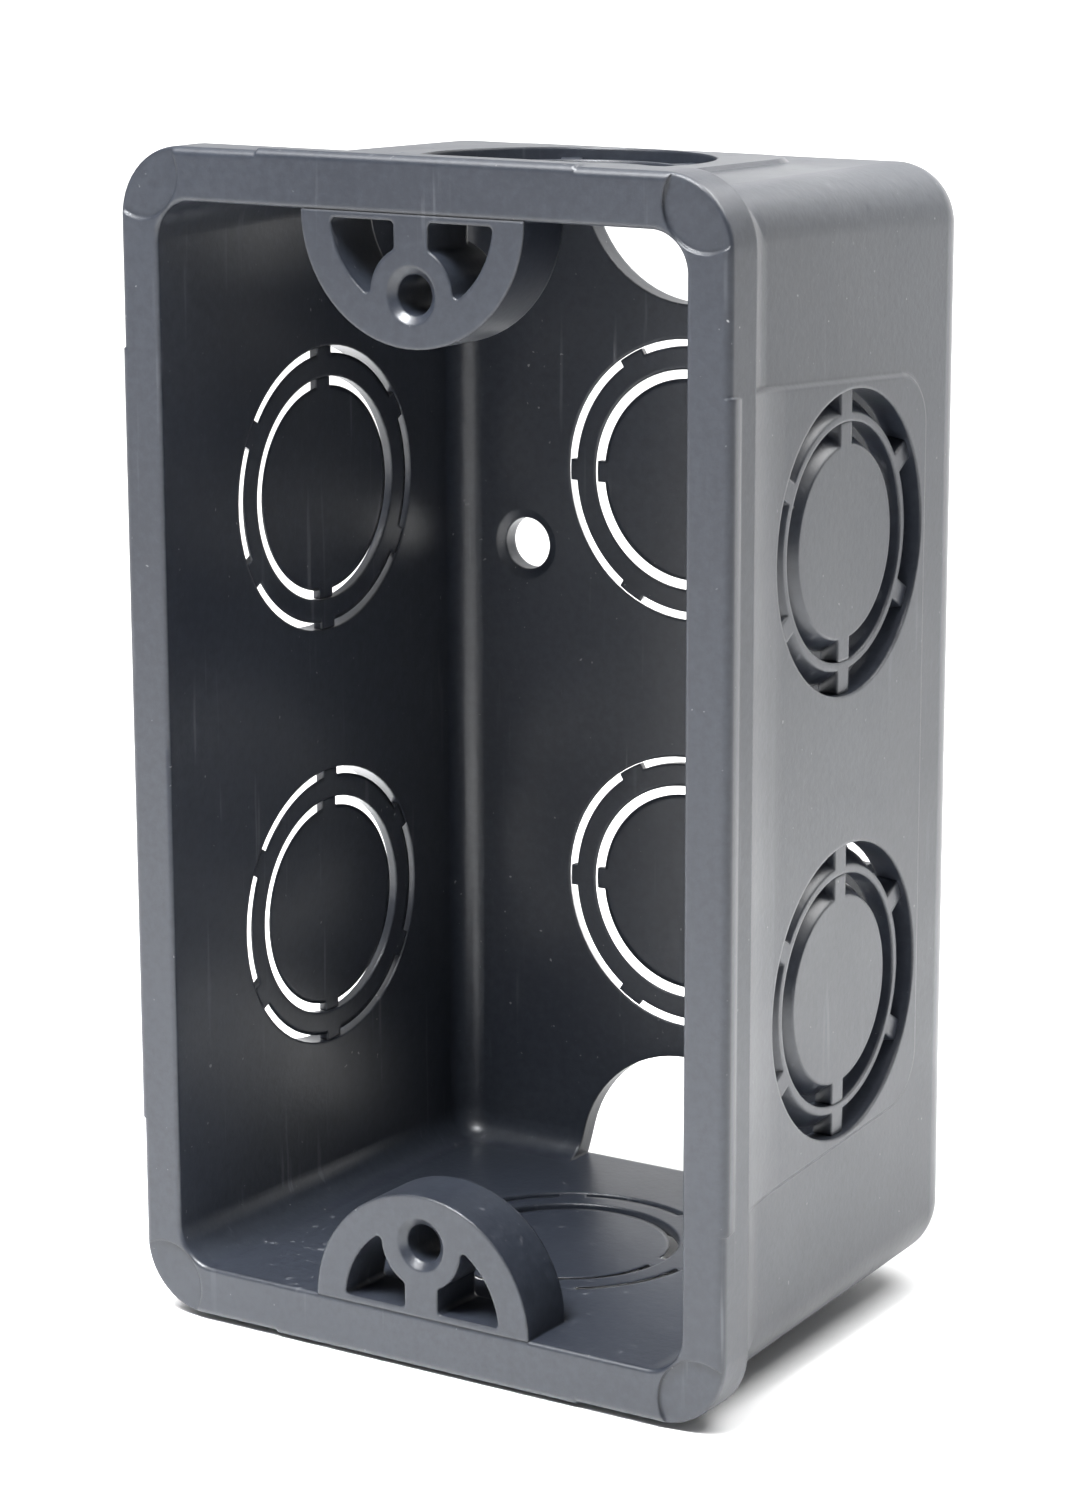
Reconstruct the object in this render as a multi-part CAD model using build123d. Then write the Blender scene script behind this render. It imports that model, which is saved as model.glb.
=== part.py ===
from build123d import *
import os
from math import cos, radians, sin, sqrt, tan

# Electrical junction box: a deep one-gang moulded box, open at the front, with eight
# two-size conduit knockouts. Each knockout is a ring around a disc, held by thin tabs.
# Frame in millimetres: X is the width, Z the height, and Y runs from the mouth to the
# back. The origin is the middle of the device screw pattern, on the mouth plane.

# Rim and mouth
RIM_WIDTH = 61.4
RIM_HEIGHT = 106.0
RIM_CORNER = 6.3
RIM_FACE_SIDE = 4.05
RIM_FACE_END = 4.65
RIM_DEPTH = 4.3
RIM_EDGE = 0.7
MOUTH_CORNER = 3.5
MOUTH_EDGE = 0.35
COVE_LENGTH = 5.1

# Walls
BOX_DEPTH = 47.5
SIDE_WALL = 2.2
END_WALL = 3.0
BACK_WALL = 2.0
SIDE_DRAFT = 1.0
END_DRAFT = 0.8
OUTER_CORNER_BACK = 5.5
INNER_CORNER_BACK = 2.8
BACK_OUTER_ROUND = 5.2
BACK_INNER_ROUND = 2.5

# Raised pads around the knockouts of the side and end walls
PAD_RAISE = 0.4
PAD_RIM_RAISE = 0.2
PAD_REAR_MARGIN = 1.15
PAD_SIDE_MARGIN = 2.45
PAD_END_MARGIN = 3.05
PAD_TAPER = 3.7
PAD_CORNER = 5.0
PAD_BEVEL = 0.4
PAD_RAMP_START = 1.2
PAD_RAMP_END = 8.5
PAD_CREST_ROUND = 4.0
PAD_FOOT_ROUND = 32.0

# Knockouts, from the large opening inwards
KNOCKOUT_RADIUS = 13.25
KNOCKOUT_DEPTH_PLACE = 24.0
KNOCKOUT_SPACING = 39.8
RING_INNER_RADIUS = 10.4
RING_SLOT = 0.7
DISC_SLOT = 0.85
RING_FLARE = 1.45
DISC_FLARE = 1.15
RING_SET_BACK = 0.1
DISC_SET_BACK = 0.3
BACK_RING_FLARE = 0.6
BACK_HOLE_FLARE = 1.2
THIN_WEB = 1.0
FULL_WEB = 2.0
TAB_WIDTH = 2.0
RING_TAB_WIDTH = 2.6
RING_TAB_TAPER = 11.0
BREAK_GAP = 0.05

# Device screw lugs
SCREW_SPACING = 83.3
SCREW_BORE_RADIUS = 1.75
SCREW_LEAD_RADIUS = 2.45
SCREW_LEAD_DEPTH = 0.6
LUG_MARGIN = 4.5
LUG_DEPTH = 6.0
LUG_BAND = 3.0
LUG_SILL = 0.55
LUG_WINDOW_CORNER = 0.45
BOSS_RADIUS = 4.15
BOSS_DEPTH = 7.0
STEM_WIDTH = 3.4
NOTCH_CLEARANCE = 0.8

# Fixing holes in the back wall
FIXING_RADIUS = 2.5
FIXING_WEB = 4.1
FIXING_ANGLE = 22.7
FIXING_SINK_RADIUS = 3.4
FIXING_SINK_DEPTH = 0.35

# Ejector marks on the rim corners
MARK_RADIUS = 3.95
MARK_INSET = 2.4
MARK_DEPTH = 0.3

# Worked out from the sizes above
MOUTH_WIDTH = RIM_WIDTH - 2 * RIM_FACE_SIDE
MOUTH_HEIGHT = RIM_HEIGHT - 2 * RIM_FACE_END
WALL_WIDTH = MOUTH_WIDTH + 2 * SIDE_WALL
WALL_HEIGHT = MOUTH_HEIGHT + 2 * END_WALL
CAVITY_DEPTH = BOX_DEPTH - BACK_WALL
SIDE_SLOPE = tan(radians(SIDE_DRAFT))
END_SLOPE = tan(radians(END_DRAFT))
COVE_FOOT = RIM_DEPTH + COVE_LENGTH
COVE_DROP = (RIM_WIDTH - WALL_WIDTH) / 2 + SIDE_SLOPE * COVE_FOOT
OUTER_CORNER_FRONT = RIM_CORNER - COVE_DROP
LUG_RADIUS = (MOUTH_HEIGHT - SCREW_SPACING) / 2 + LUG_MARGIN
NOTCH_RADIUS = LUG_RADIUS + NOTCH_CLEARANCE
OVERRUN = 20.0
CORE_REACH = 8.0
FULL_TAB_ANGLES = (0, 180)
RING_TAB_ANGLES = (60, 120, 240, 300)

# Each knockout's wall, how far its middle lies above the middle of that wall, and how
# thick it is
KNOCKOUTS = {
    "left_upper": ("left", KNOCKOUT_SPACING / 2, THIN_WEB),
    "left_lower": ("left", -KNOCKOUT_SPACING / 2, THIN_WEB),
    "right_upper": ("right", KNOCKOUT_SPACING / 2, FULL_WEB),
    "right_lower": ("right", -KNOCKOUT_SPACING / 2, FULL_WEB),
    "back_upper": ("back", KNOCKOUT_SPACING / 2, THIN_WEB),
    "back_lower": ("back", -KNOCKOUT_SPACING / 2, THIN_WEB),
    "top": ("top", 0.0, FULL_WEB),
    "bottom": ("bottom", 0.0, THIN_WEB),
}


def xz_plane(y):
    """A plane facing the back of the box, at depth y."""
    return Plane(origin=(0, y, 0), x_dir=(1, 0, 0), z_dir=(0, 1, 0))


def outline(width, height, corner, y):
    """A rounded rectangle across the box at depth y."""
    return xz_plane(y) * RectangleRounded(width, height, corner)


def bar(radius, y_from, y_to, x=0.0, z=0.0):
    """A round bar along Y."""
    place = Pos(x, (y_from + y_to) / 2, z) * Rot(X=90)
    return place * Cylinder(radius, y_to - y_from)


def block(x_from, x_to, y_from, y_to, z_from, z_to):
    """A plain block between two corners."""
    centre = Pos((x_from + x_to) / 2, (y_from + y_to) / 2, (z_from + z_to) / 2)
    return centre * Box(x_to - x_from, y_to - y_from, z_to - z_from)


def edges_at(shape, y):
    """The edges that lie wholly at depth y."""
    return [edge for edge in shape.edges() if abs(edge.bounding_box().min.Y - y) < 1e-4
            and abs(edge.bounding_box().max.Y - y) < 1e-4]


def rim():
    """The square-edged band around the mouth, with its front edge rounded."""
    band = extrude(outline(RIM_WIDTH, RIM_HEIGHT, RIM_CORNER, 0), RIM_DEPTH)
    return fillet(edges_at(band, 0), RIM_EDGE)


def cove():
    """The hollow curve that runs from the back of the rim down to the wall, in eight stretches."""
    half_width = RIM_WIDTH / 2
    half_height = RIM_HEIGHT / 2
    radius = (COVE_DROP ** 2 + COVE_LENGTH ** 2) / (2 * COVE_DROP)
    foot_x = half_width - COVE_DROP
    root_x = foot_x - SIDE_WALL / 4
    middle_x = foot_x + radius - sqrt(radius ** 2 - (COVE_LENGTH / 2) ** 2)
    middle = (middle_x, COVE_FOOT - COVE_LENGTH / 2)
    arc = ThreePointArc((half_width, RIM_DEPTH), middle, (foot_x, COVE_FOOT))
    rest = Polyline((foot_x, COVE_FOOT), (root_x, COVE_FOOT), (root_x, RIM_DEPTH),
                    (half_width, RIM_DEPTH))
    profile = make_face([arc, rest])
    corner_x = half_width - RIM_CORNER
    corner_z = half_height - RIM_CORNER
    side = extrude(profile, corner_z, both=True)
    end_profile = Pos(0, 0, half_height - half_width) * Rot(Y=-90) * profile
    end = extrude(end_profile, corner_x, both=True)
    turn = revolve(Pos(0, 0, corner_z) * profile, Axis((corner_x, 0, corner_z), (0, -1, 0)), 90)
    stretches = [side, end, turn, mirror(turn, Plane.YZ)]
    return stretches + [Rot(Y=180) * stretch for stretch in stretches]


def walls():
    """The outside of the box: straight behind the rim, then drafted and rounded at the back."""
    run = BOX_DEPTH - COVE_FOOT
    width = WALL_WIDTH - 2 * SIDE_SLOPE * COVE_FOOT
    height = WALL_HEIGHT - 2 * END_SLOPE * COVE_FOOT
    start = extrude(outline(width, height, OUTER_CORNER_FRONT, 0), COVE_FOOT)
    front = outline(width, height, OUTER_CORNER_FRONT, COVE_FOOT)
    back = outline(width - 2 * SIDE_SLOPE * run, height - 2 * END_SLOPE * run,
                   OUTER_CORNER_BACK, BOX_DEPTH)
    drafted = loft([front, back], ruled=True)
    return start + fillet(edges_at(drafted, BOX_DEPTH), BACK_OUTER_ROUND)


def cavity():
    """The inside of the box: drafted at the sides, straight at the top and bottom."""
    front = outline(MOUTH_WIDTH, MOUTH_HEIGHT, MOUTH_CORNER, 0)
    back = outline(MOUTH_WIDTH - 2 * SIDE_SLOPE * CAVITY_DEPTH, MOUTH_HEIGHT,
                   INNER_CORNER_BACK, CAVITY_DEPTH)
    space = loft([front, back], ruled=True)
    return fillet(edges_at(space, CAVITY_DEPTH), BACK_INNER_ROUND)


def pad_profile(rim_reach, wall_reach, slope):
    """A pad's section along the depth: the rim's edge, a soft ramp down, then the drafted wall."""
    foot = wall_reach - slope * PAD_RAMP_END
    rear = wall_reach - slope * BOX_DEPTH
    section = make_face(Polyline((0, 0), (rim_reach, 0), (rim_reach, PAD_RAMP_START),
                                 (foot, PAD_RAMP_END), (rear, BOX_DEPTH), (0, BOX_DEPTH), close=True))
    for reach, depth, radius in ((rim_reach, 0, RIM_EDGE), (rim_reach, PAD_RAMP_START, PAD_CREST_ROUND),
                                 (foot, PAD_RAMP_END, PAD_FOOT_ROUND)):
        corner = section.vertices().sort_by_distance((reach, depth, 0))[0]
        section = fillet(corner, radius)
    return section


def pad_outline(half_length, taper):
    """A pad's outline seen from its own side: narrower towards the back, with rounded rear corners."""
    rear = KNOCKOUT_DEPTH_PLACE + KNOCKOUT_RADIUS + PAD_REAR_MARGIN
    slope = tan(radians(taper))
    front = half_length + slope
    back = half_length - slope * rear
    section = make_face(Polyline((0, -1, -front), (0, -1, front), (0, rear, back),
                                 (0, rear, -back), close=True))
    corners = section.vertices().sort_by(Axis.Y)[-2:]
    return fillet(corners, PAD_CORNER)


def pad(section, half_length, taper):
    """One pad block from the middle of the box out along +X, with its side and rear edges bevelled."""
    length = extrude(section, half_length + 1, both=True)
    solid = length & extrude(pad_outline(half_length, taper), RIM_HEIGHT, dir=(1, 0, 0))
    inner = SIDE_WALL * 2
    edges = [edge for edge in solid.edges() if edge.center().X > inner and edge.center().Y > RIM_EDGE
             and edge.bounding_box().min.X > inner]
    rear = max(edge.center().Y for edge in edges)
    across = [edge for edge in edges if abs(edge.tangent_at(0.5).Z) < 0.99
              or edge.center().Y > rear - PAD_BEVEL]
    return chamfer(across, PAD_BEVEL)


def pads():
    """The four pads, from the middle of the box out to their raised faces."""
    side_section = pad_profile(RIM_WIDTH / 2 + PAD_RIM_RAISE, WALL_WIDTH / 2 + PAD_RAISE, SIDE_SLOPE)
    end_section = pad_profile(RIM_HEIGHT / 2 + PAD_RIM_RAISE, WALL_HEIGHT / 2 + PAD_RAISE, END_SLOPE)
    side = pad(side_section, KNOCKOUT_SPACING / 2 + KNOCKOUT_RADIUS + PAD_SIDE_MARGIN, PAD_TAPER)
    end = Rot(Y=-90) * pad(end_section, KNOCKOUT_RADIUS + PAD_END_MARGIN, 0)
    return [side, end, Rot(Y=180) * side, Rot(Y=180) * end]


def lug_window():
    """The right window of the upper lug, between its band, its boss and its stem."""
    top = MOUTH_HEIGHT / 2
    radius = LUG_RADIUS - LUG_BAND
    width = radius - STEM_WIDTH / 2
    height = radius - LUG_SILL
    reach = Pos((radius + STEM_WIDTH / 2) / 2, top - LUG_SILL - height / 2) * Rectangle(width, height)
    boss = Pos(0, SCREW_SPACING / 2) * Rot(Z=180) * Circle(BOSS_RADIUS)
    window = (Pos(0, top) * Circle(radius) & reach) - boss
    return fillet(window.vertices(), LUG_WINDOW_CORNER)


def lug():
    """The upper device screw lug: a half-round plate with two windows, a boss and a buried root."""
    top = MOUTH_HEIGHT / 2
    window = lug_window()
    below = Pos(0, top - LUG_RADIUS / 2) * Rectangle(2 * LUG_RADIUS, LUG_RADIUS)
    plate = Pos(0, top) * Circle(LUG_RADIUS) & below
    plate = plate - window - mirror(window, Plane.YZ)
    root = block(-LUG_RADIUS, LUG_RADIUS, RIM_EDGE, LUG_DEPTH, top, top + END_WALL / 2)
    boss = bar(BOSS_RADIUS, 0, BOSS_DEPTH, z=SCREW_SPACING / 2)
    return extrude(Plane.XZ * plate, -LUG_DEPTH) + root + boss


def sunk_hole(radius, sink_radius, sink_depth, y, x, z):
    """A round hole right through, with a conical sink that starts at depth y."""
    hole = bar(radius, y - 1, y + OVERRUN, x, z)
    cone = Pos(x, y + sink_depth / 2, z) * Rot(X=90) * Cone(radius, sink_radius, sink_depth)
    return hole + cone


def notch():
    """The half-round opening in the back wall behind the upper lug."""
    top = MOUTH_HEIGHT / 2
    start = CAVITY_DEPTH - BACK_INNER_ROUND - 1
    reach = block(-NOTCH_RADIUS, NOTCH_RADIUS, start, BOX_DEPTH + 1, top - NOTCH_RADIUS, top)
    return bar(NOTCH_RADIUS, start, BOX_DEPTH + 1, z=top) & reach


def fixing_place():
    """The left fixing hole's middle: a web away from the upper back knockout."""
    reach = KNOCKOUT_RADIUS + FIXING_WEB + FIXING_RADIUS
    angle = radians(FIXING_ANGLE)
    return -reach * cos(angle), KNOCKOUT_SPACING / 2 - reach * sin(angle)


def mark():
    """The ejector mark on the upper right corner of the rim."""
    x = RIM_WIDTH / 2 - MARK_INSET
    z = RIM_HEIGHT / 2 - MARK_INSET
    return bar(MARK_RADIUS, -1, MARK_DEPTH, x, z)


def shell():
    """The moulding before its knockouts, lugs and holes."""
    solid = rim() + walls()
    for piece in pads() + cove():
        solid += piece
    hollow = solid - cavity()
    front = hollow.faces().sort_by(Axis.Y)[0]
    return fillet(front.inner_wires()[0].edges(), MOUTH_EDGE)


def knockout_plane(wall, offset):
    """A plane on the inner face of a wall, at a knockout's middle, facing outwards."""
    depth = KNOCKOUT_DEPTH_PLACE
    x = MOUTH_WIDTH / 2 - SIDE_SLOPE * depth
    z = MOUTH_HEIGHT / 2
    left = (-1, SIDE_SLOPE, 0)
    right = (1, SIDE_SLOPE, 0)
    planes = {
        "left": Plane(origin=(-x, depth, offset), x_dir=(0, 0, 1), z_dir=left),
        "right": Plane(origin=(x, depth, offset), x_dir=(0, 0, 1), z_dir=right),
        "back": Plane(origin=(0, CAVITY_DEPTH, offset), x_dir=(1, 0, 0), z_dir=(0, 1, 0)),
        "top": Plane(origin=(0, depth, z), x_dir=(1, 0, 0), z_dir=(0, 0, 1)),
        "bottom": Plane(origin=(0, depth, -z), x_dir=(1, 0, 0), z_dir=(0, 0, -1)),
    }
    return planes[wall]


def plug(radius, low=-CORE_REACH, high=CORE_REACH, far_radius=None):
    """A round or tapered bar along a knockout's own axis."""
    middle = Pos(0, 0, (low + high) / 2)
    if far_radius is None:
        return middle * Cylinder(radius, high - low)
    return middle * Cone(radius, far_radius, high - low)


def arms(angles, width, taper, reach, low, web):
    """Radial tabs from a knockout's middle to a reach, narrower towards the outside."""
    near = width / 2
    far = near - tan(radians(taper)) * (web - low)
    corners = Polyline((0, -near, low), (0, near, low), (0, far, web), (0, -far, web), close=True)
    arm = extrude(make_face(corners), reach, dir=(1, 0, 0))
    solid = Rot(Z=angles[0]) * arm
    for angle in angles[1:]:
        solid += Rot(Z=angle) * arm
    return solid & plug(reach - BREAK_GAP)


def ring_form(wall, web):
    """The outer knockout piece: a ring with a sloping flank and six tabs that reach the wall."""
    low = RING_SET_BACK
    root = KNOCKOUT_RADIUS - RING_SLOT
    form = arms(FULL_TAB_ANGLES, TAB_WIDTH, 0, KNOCKOUT_RADIUS, low, web)
    form += arms(RING_TAB_ANGLES, RING_TAB_WIDTH, RING_TAB_TAPER, KNOCKOUT_RADIUS, low, web)
    if wall == "back":
        form += plug(root, low, web)
        return form - plug(RING_INNER_RADIUS, low, web, RING_INNER_RADIUS + BACK_RING_FLARE)
    form += plug(root, low, web, root - RING_FLARE)
    return form - plug(RING_INNER_RADIUS)


def disc_form(web):
    """The inner knockout piece: a disc with a sloping flank and two tabs that reach the ring."""
    low = DISC_SET_BACK
    root = RING_INNER_RADIUS - DISC_SLOT
    form = plug(root, low, web, root - DISC_FLARE)
    return form + arms(FULL_TAB_ANGLES, TAB_WIDTH, 0, RING_INNER_RADIUS, low, web)


def knockout_hole(wall):
    """The hole that the whole knockout leaves; it widens outwards in the back wall."""
    if wall == "back":
        far_radius = KNOCKOUT_RADIUS + 2 * BACK_HOLE_FLARE
        return plug(KNOCKOUT_RADIUS, high=0) + plug(KNOCKOUT_RADIUS, 0, 2 * BACK_WALL, far_radius)
    return plug(KNOCKOUT_RADIUS)


def box_body(blank):
    """The moulding with its lugs, holes and marks, and every knockout taken out."""
    body = blank
    for wall, offset, _ in KNOCKOUTS.values():
        body -= knockout_plane(wall, offset) * knockout_hole(wall)
    x, z = fixing_place()
    bore = sunk_hole(SCREW_BORE_RADIUS, SCREW_LEAD_RADIUS, SCREW_LEAD_DEPTH, 0, 0, SCREW_SPACING / 2)
    fixing = sunk_hole(FIXING_RADIUS, FIXING_SINK_RADIUS, FIXING_SINK_DEPTH, CAVITY_DEPTH, x, z)
    for turn in (Rot(0, 0, 0), Rot(Y=180)):
        body += turn * lug()
        body -= turn * bore
        body -= turn * fixing
        body -= turn * notch()
        body -= turn * mark()
        body -= turn * mirror(mark(), Plane.YZ)
    return body


def save(node, solid):
    """Write one piece to its own file."""
    solid.label = node
    export_step(solid, f"parts/{node}.step")


def main():
    os.makedirs("parts", exist_ok=True)
    blank = shell()
    save("box_body", box_body(blank))
    for name, (wall, offset, web) in KNOCKOUTS.items():
        plane = knockout_plane(wall, offset)
        core = blank & (plane * plug(KNOCKOUT_RADIUS))
        save(f"knockout_{name}_ring", core & (plane * ring_form(wall, web)))
        save(f"knockout_{name}_disc", core & (plane * disc_form(web)))


main()
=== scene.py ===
import math

import bpy
from mathutils import Matrix, Vector


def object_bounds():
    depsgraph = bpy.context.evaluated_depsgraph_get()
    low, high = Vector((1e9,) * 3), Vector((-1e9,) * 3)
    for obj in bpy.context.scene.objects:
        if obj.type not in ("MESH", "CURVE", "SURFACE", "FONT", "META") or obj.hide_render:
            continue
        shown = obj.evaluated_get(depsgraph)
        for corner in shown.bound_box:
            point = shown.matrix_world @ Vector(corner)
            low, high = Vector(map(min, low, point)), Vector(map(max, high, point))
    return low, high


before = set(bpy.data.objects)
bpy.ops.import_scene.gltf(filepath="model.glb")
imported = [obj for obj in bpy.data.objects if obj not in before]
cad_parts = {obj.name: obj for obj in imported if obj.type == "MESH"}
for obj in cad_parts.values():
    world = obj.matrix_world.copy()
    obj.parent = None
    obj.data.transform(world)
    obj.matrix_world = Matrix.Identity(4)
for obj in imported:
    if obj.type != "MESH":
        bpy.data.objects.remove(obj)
cad_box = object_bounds()

# ---------------------------------------------------------------- materials

PVC_DARK = (0.0125, 0.0148, 0.0208)
PVC_LIGHT = (0.0205, 0.0238, 0.0315)
SCUFF_COLOUR = (0.16, 0.165, 0.18)
DUST_COLOUR = (0.32, 0.32, 0.32)
SCUFF_COVER = 0.45
DUST_COVER = 0.7
ROUGHNESS_LOW = 0.285
ROUGHNESS_HIGH = 0.37
SCUFF_ROUGHNESS = 0.2
DUST_ROUGHNESS = 0.3
PLASTIC_IOR = 1.5
EDGE_ROUND = 0.0004
WAVE_HEIGHT = 0.0003
WAVE_STRENGTH = 0.35
GRAIN_HEIGHT = 0.00015
GRAIN_STRENGTH = 0.1
ALONG_Z = (1, 1, 0.06)


def pvc(name, seed):
    """Moulded rigid PVC, dark blue-grey: satin and slightly mottled, with grain, scuffs and dust."""
    material = bpy.data.materials.new(name)
    material.use_nodes = True
    nodes, links = material.node_tree.nodes, material.node_tree.links
    nodes.clear()

    def node(kind, **values):
        """A new node; each value goes to the input of that name, or to the node itself."""
        made = nodes.new(kind)
        for key, value in values.items():
            if key in made.inputs:
                made.inputs[key].default_value = value
            else:
                setattr(made, key, value)
        return made

    def ramp(value, low, high, to_low=0.0, to_high=1.0):
        """A smooth step from to_low to to_high while the value goes from low to high."""
        made = node("ShaderNodeMapRange", interpolation_type="SMOOTHERSTEP")
        limits = {"From Min": low, "From Max": high, "To Min": to_low, "To Max": to_high}
        for key, number in limits.items():
            made.inputs[key].default_value = number
        links.new(value, made.inputs["Value"])
        return made.outputs["Result"]

    def noise(scale, detail, roughness, stretch=(1, 1, 1)):
        """Noise in the part's own metres; a stretch below 1 draws it out along that axis."""
        placed = node("ShaderNodeMapping")
        placed.inputs["Scale"].default_value = stretch
        placed.inputs["Location"].default_value = (seed, seed * 0.7, seed * 0.3)
        links.new(place.outputs["Object"], placed.inputs["Vector"])
        made = node("ShaderNodeTexNoise", Scale=scale, Detail=detail, Roughness=roughness)
        links.new(placed.outputs["Vector"], made.inputs["Vector"])
        return made.outputs["Fac"]

    def arithmetic(operation, first, second):
        """Two values put together; each is a socket or a plain float."""
        made = node("ShaderNodeMath", operation=operation)
        for socket, value in zip(made.inputs, (first, second)):
            if isinstance(value, float):
                socket.default_value = value
            else:
                links.new(value, socket)
        return made.outputs["Value"]

    def blend(factor, first, second):
        """From the first colour to the second while the factor goes from 0 to 1."""
        made = node("ShaderNodeMix", data_type="RGBA")
        links.new(factor, made.inputs["Factor"])
        for key, value in (("A", first), ("B", second)):
            if isinstance(value, tuple):
                made.inputs[key].default_value = (*value, 1)
            else:
                links.new(value, made.inputs[key])
        return made.outputs["Result"]

    place = node("ShaderNodeTexCoord")
    speckle = noise(scale=1100, detail=3, roughness=0.7)
    clouds = arithmetic("MULTIPLY", noise(scale=30, detail=1, roughness=0.5), 0.4)
    speckle = arithmetic("MULTIPLY", speckle, 0.6)
    mottle = ramp(arithmetic("ADD", clouds, speckle), low=0.3, high=0.7)

    scratches = noise(scale=900, detail=2, roughness=0.5, stretch=ALONG_Z)
    scratches = ramp(scratches, low=0.63, high=0.78)
    scuffed_places = ramp(noise(scale=45, detail=2, roughness=0.5), low=0.25, high=0.85)
    scuffing = arithmetic("MULTIPLY", scratches, scuffed_places)

    specks = ramp(noise(scale=1700, detail=1, roughness=0.5), low=0.75, high=0.84)
    dusty_places = ramp(noise(scale=70, detail=2, roughness=0.5), low=0.2, high=0.8)
    dust = arithmetic("MULTIPLY", specks, dusty_places)

    colour = blend(mottle, PVC_DARK, PVC_LIGHT)
    colour = blend(arithmetic("MULTIPLY", scuffing, SCUFF_COVER), colour, SCUFF_COLOUR)
    colour = blend(arithmetic("MULTIPLY", dust, DUST_COVER), colour, DUST_COLOUR)

    gloss = noise(scale=55, detail=3, roughness=0.55)
    gloss = ramp(gloss, 0.2, 0.8, to_low=ROUGHNESS_LOW, to_high=ROUGHNESS_HIGH)
    gloss = arithmetic("ADD", gloss, arithmetic("MULTIPLY", scuffing, SCUFF_ROUGHNESS))
    gloss = arithmetic("ADD", gloss, arithmetic("MULTIPLY", dust, DUST_ROUGHNESS))

    edges = node("ShaderNodeBevel", samples=6, Radius=EDGE_ROUND)
    waves = node("ShaderNodeBump", Strength=WAVE_STRENGTH, Distance=WAVE_HEIGHT)
    links.new(noise(scale=48, detail=1, roughness=0.4), waves.inputs["Height"])
    links.new(edges.outputs["Normal"], waves.inputs["Normal"])
    grain = node("ShaderNodeBump", Strength=GRAIN_STRENGTH, Distance=GRAIN_HEIGHT)
    links.new(noise(scale=1600, detail=3, roughness=0.6), grain.inputs["Height"])
    links.new(waves.outputs["Normal"], grain.inputs["Normal"])

    shader = node("ShaderNodeBsdfPrincipled", IOR=PLASTIC_IOR)
    links.new(colour, shader.inputs["Base Color"])
    links.new(gloss, shader.inputs["Roughness"])
    links.new(grain.outputs["Normal"], shader.inputs["Normal"])
    output = node("ShaderNodeOutputMaterial")
    links.new(shader.outputs["BSDF"], output.inputs["Surface"])
    return material


body_material = pvc("box_pvc", seed=0.0)
knockout_material = pvc("knockout_pvc", seed=0.37)
for name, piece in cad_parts.items():
    material = knockout_material if name.startswith("knockout") else body_material
    piece.data.materials.clear()
    piece.data.materials.append(material)

# ---------------------------------------------------------------- stage

FLOOR_GAP = 0.0003
STUDIO_WHITE = (0.9, 0.9, 0.9)
STUDIO_ROUGHNESS = 0.7
SKY_WHITE = (1, 1, 1, 1)
SKY_STRENGTH = 0.25


def plain(name, colour, roughness):
    """An even paint for the studio."""
    material = bpy.data.materials.new(name)
    material.use_nodes = True
    shader = material.node_tree.nodes["Principled BSDF"]
    shader.inputs["Base Color"].default_value = (*colour, 1)
    shader.inputs["Roughness"].default_value = roughness
    return material


def sweep(name, z, back, width, front, rise, radius, steps=12):
    """A floor that curves up into a backdrop, width to each side of the middle."""
    profile = [(-front, z), (back - radius, z)]
    for step in range(1, steps):
        a = math.pi / 2 * step / steps
        profile.append((back - radius + radius * math.sin(a), z + radius - radius * math.cos(a)))
    profile += [(back, z + radius), (back, z + rise)]
    verts, faces = [], []
    for y, height in profile:
        verts += [(-width, y, height), (width, y, height)]
    for i in range(len(profile) - 1):
        faces.append((2 * i, 2 * i + 1, 2 * i + 3, 2 * i + 2))
    mesh = bpy.data.meshes.new(name)
    mesh.from_pydata(verts, [], faces)
    for polygon in mesh.polygons:
        polygon.use_smooth = True
    made = bpy.data.objects.new(name, mesh)
    bpy.context.scene.collection.objects.link(made)
    return made


floor_height = cad_box[0].z - FLOOR_GAP
floor = sweep("floor", floor_height, back=3.0, width=3.0, front=3.0, rise=3.0, radius=0.8)
floor.data.materials.append(plain("floor_paint", STUDIO_WHITE, STUDIO_ROUGHNESS))

world = bpy.data.worlds.new("studio")
bpy.context.scene.world = world
world.use_nodes = True
world.node_tree.nodes["Background"].inputs["Color"].default_value = SKY_WHITE
world.node_tree.nodes["Background"].inputs["Strength"].default_value = SKY_STRENGTH
bpy.context.scene.view_settings.view_transform = "Standard"

# ---------------------------------------------------------------- lights


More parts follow.
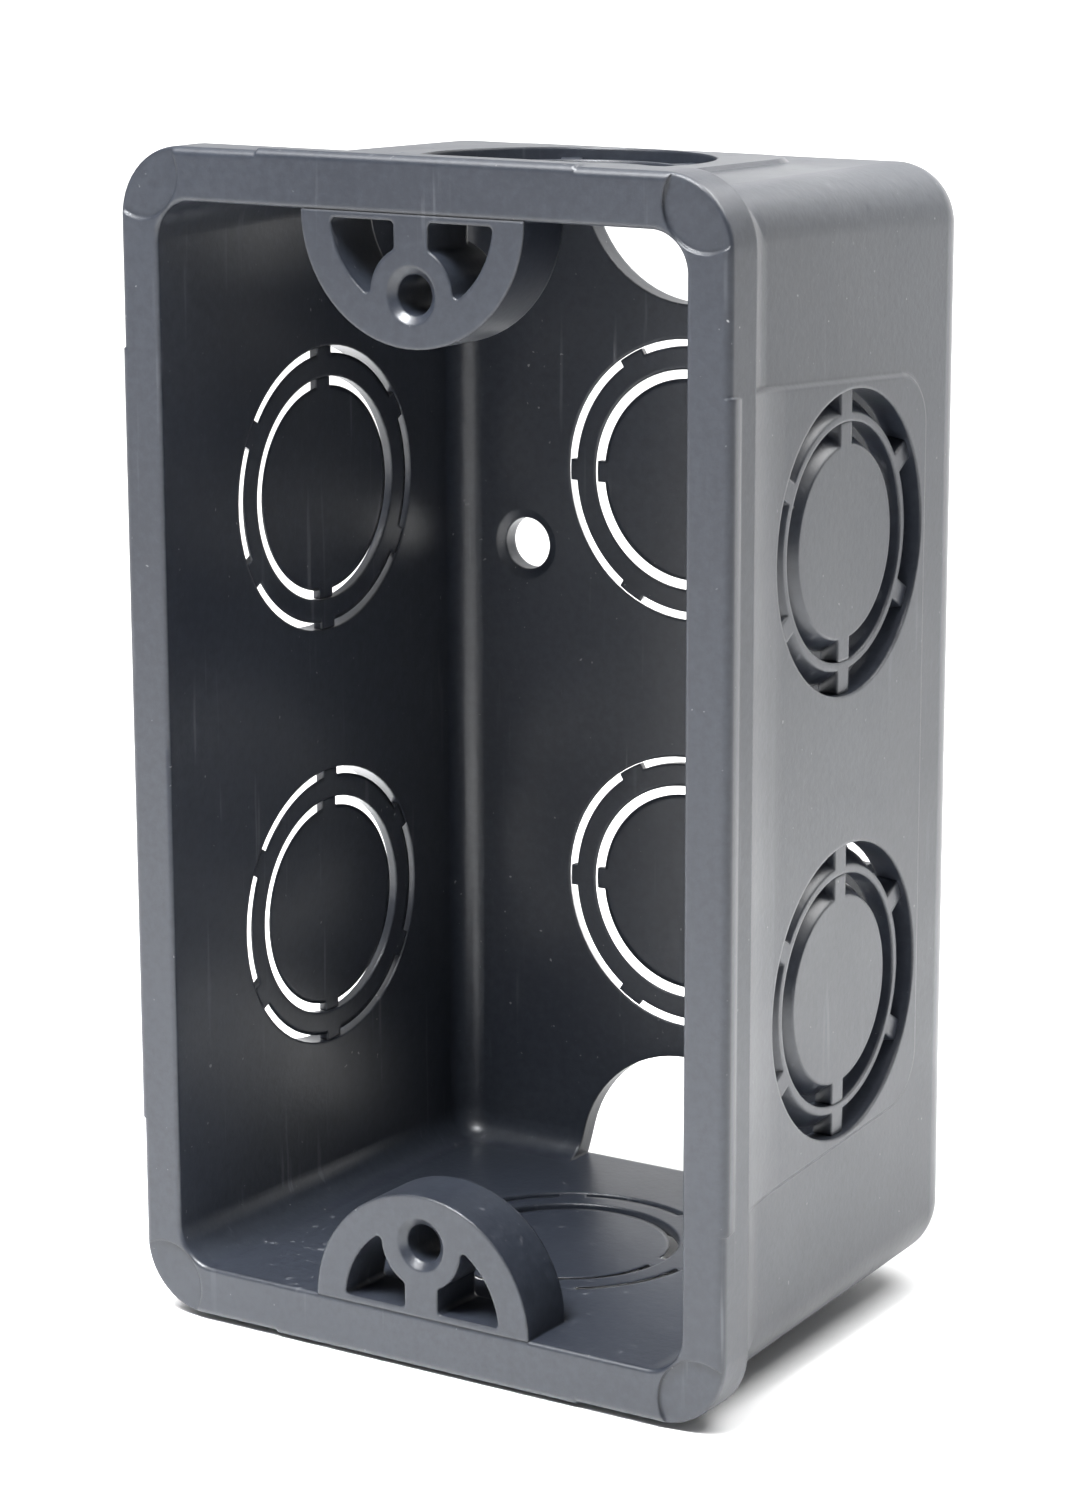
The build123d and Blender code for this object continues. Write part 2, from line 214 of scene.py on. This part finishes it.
def softbox(name, place, target, width, height, power):
    """A rectangular light at place that shines towards target."""
    light = bpy.data.lights.new(name, "AREA")
    light.shape = "RECTANGLE"
    light.size = width
    light.size_y = height
    light.energy = power
    made = bpy.data.objects.new(name, light)
    made.location = place
    made.rotation_mode = "QUATERNION"
    made.rotation_quaternion = (Vector(target) - Vector(place)).to_track_quat("-Z", "Y")
    bpy.context.scene.collection.objects.link(made)
    return made


def pool(name, x, y, power, side=0.16, height=0.2):
    """A small light straight over the floor: the box's walls reflect the bright patch."""
    softbox(name, (x, y, height), (x, y, 0), side, side, power)


softbox("ceiling", (0, 0.7, 2.0), (0, 0.7, 0), width=3.0, height=3.0, power=60)
softbox("backdrop_wash", (0, 1.2, 1.3), (0, 3.0, 0.3), width=2.5, height=0.8, power=60)
softbox("key", (-0.08, -0.40, 0.95), (0, 0, 0), width=0.5, height=0.4, power=22)
pool("front_pool", -0.08, -0.13, power=0.7)
pool("right_pool", 0.11, 0.13, power=0.6)
mouth = softbox("mouth", (-0.03, -0.14, 0.3), (0, 0.01, -0.05), width=0.1, height=0.1, power=0.14)
mouth.data.spread = math.radians(50)
mouth.data.color = (0.9, 0.95, 1.0)

# ---------------------------------------------------------------- camera

DISTANCE = 0.343447
AZIMUTH = math.radians(32.716)
ELEVATION = math.radians(12.919)
ROLL = math.radians(-0.135)
LOOKS_AT = Vector((0.013765, 0, 0.004254))

camera = bpy.data.cameras.new("camera")
camera.lens = 98.775
camera.sensor_width = 36
camera.shift_x = -0.00749
camera.shift_y = 0.00253
camera.clip_start = 0.01
camera.clip_end = 20
right = Vector((math.cos(AZIMUTH), math.sin(AZIMUTH), 0))
back = Vector((
    math.sin(AZIMUTH) * math.cos(ELEVATION),
    -math.cos(AZIMUTH) * math.cos(ELEVATION),
    math.sin(ELEVATION),
))
tilted = right * math.cos(ROLL) + back.cross(right) * math.sin(ROLL)
axes = Matrix((tilted, back.cross(tilted), back)).transposed()
view = bpy.data.objects.new("camera", camera)
view.matrix_world = Matrix.Translation(LOOKS_AT + back * DISTANCE) @ axes.to_4x4()
bpy.context.scene.collection.objects.link(view)
bpy.context.scene.camera = view
